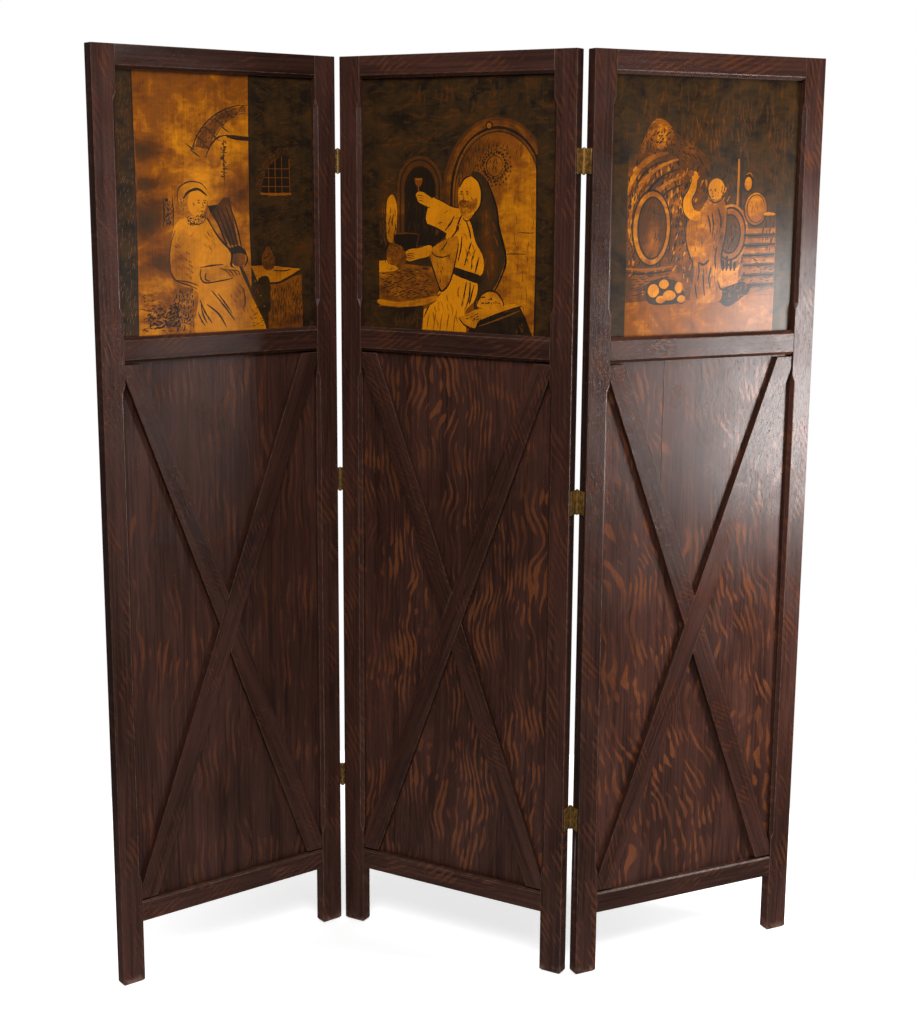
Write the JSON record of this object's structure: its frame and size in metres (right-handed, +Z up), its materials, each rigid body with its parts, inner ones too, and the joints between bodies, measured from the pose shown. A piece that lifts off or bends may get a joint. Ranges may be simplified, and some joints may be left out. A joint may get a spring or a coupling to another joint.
{
  "type": "folding partition wall",
  "caption": "Folding oak partition wall: framed leaves with burnt-wood picture boards above cross-braced panels, hinged in a zigzag.",
  "frame": {"origin": "on the floor, at the middle of the footprint of the standing zigzag", "axes": "+X from the left leaf to the right leaf, +Y from the picture side to the back, +Z up"},
  "size_m": [1.3188, 0.326, 1.727],
  "materials": {
    "fumed_oak": "waxed dark fumed oak, quarter-sawn, with reddish ray fleck",
    "oak_panel": "waxed dark fumed oak panel with bold ray fleck",
    "burnt_picture": "varnished amber pine, burnt and stained picture with dark surround",
    "aged_brass": "aged brass, brown in the corners"
  },
  "bodies": {
    "middle_leaf": {"middle_leaf_left_stile": "fumed_oak", "middle_leaf_right_stile": "fumed_oak", "middle_leaf_top_rail": "fumed_oak", "middle_leaf_middle_rail": "fumed_oak", "middle_leaf_bottom_rail": "fumed_oak", "middle_leaf_picture_board": "burnt_picture", "middle_leaf_lower_panel": "oak_panel", "middle_leaf_falling_brace": "fumed_oak", "middle_leaf_rising_brace": "fumed_oak", "middle_leaf_left_screws": "aged_brass", "middle_leaf_right_screws": "aged_brass", "left_top_hinge_double_plate": "aged_brass", "left_top_hinge_pin": "aged_brass", "left_middle_hinge_double_plate": "aged_brass", "left_middle_hinge_pin": "aged_brass", "left_bottom_hinge_double_plate": "aged_brass", "left_bottom_hinge_pin": "aged_brass", "right_top_hinge_double_plate": "aged_brass", "right_top_hinge_pin": "aged_brass", "right_middle_hinge_double_plate": "aged_brass", "right_middle_hinge_pin": "aged_brass", "right_bottom_hinge_double_plate": "aged_brass", "right_bottom_hinge_pin": "aged_brass"},
    "left_leaf": {"left_leaf_left_stile": "fumed_oak", "left_leaf_right_stile": "fumed_oak", "left_leaf_top_rail": "fumed_oak", "left_leaf_middle_rail": "fumed_oak", "left_leaf_bottom_rail": "fumed_oak", "left_leaf_picture_board": "burnt_picture", "left_leaf_lower_panel": "oak_panel", "left_leaf_falling_brace": "fumed_oak", "left_leaf_rising_brace": "fumed_oak", "left_leaf_screws": "aged_brass", "left_top_hinge_single_plate": "aged_brass", "left_middle_hinge_single_plate": "aged_brass", "left_bottom_hinge_single_plate": "aged_brass"},
    "right_leaf": {"right_leaf_left_stile": "fumed_oak", "right_leaf_right_stile": "fumed_oak", "right_leaf_top_rail": "fumed_oak", "right_leaf_middle_rail": "fumed_oak", "right_leaf_bottom_rail": "fumed_oak", "right_leaf_picture_board": "burnt_picture", "right_leaf_lower_panel": "oak_panel", "right_leaf_falling_brace": "fumed_oak", "right_leaf_rising_brace": "fumed_oak", "right_leaf_screws": "aged_brass", "right_top_hinge_single_plate": "aged_brass", "right_middle_hinge_single_plate": "aged_brass", "right_bottom_hinge_single_plate": "aged_brass"}
  },
  "joints": [
    {"name": "left_fold", "type": "hinge", "parent": "middle_leaf", "child": "left_leaf", "pos_m": [-0.24896, 0.14025, 0], "axis": [0, 0, 1], "range_deg": [-68.3, 111.7]},
    {"name": "right_fold", "type": "hinge", "parent": "middle_leaf", "child": "right_leaf", "pos_m": [0.19915, -0.08601, 0], "axis": [0, 0, 1], "range_deg": [-56.4, 123.6]}
  ]
}
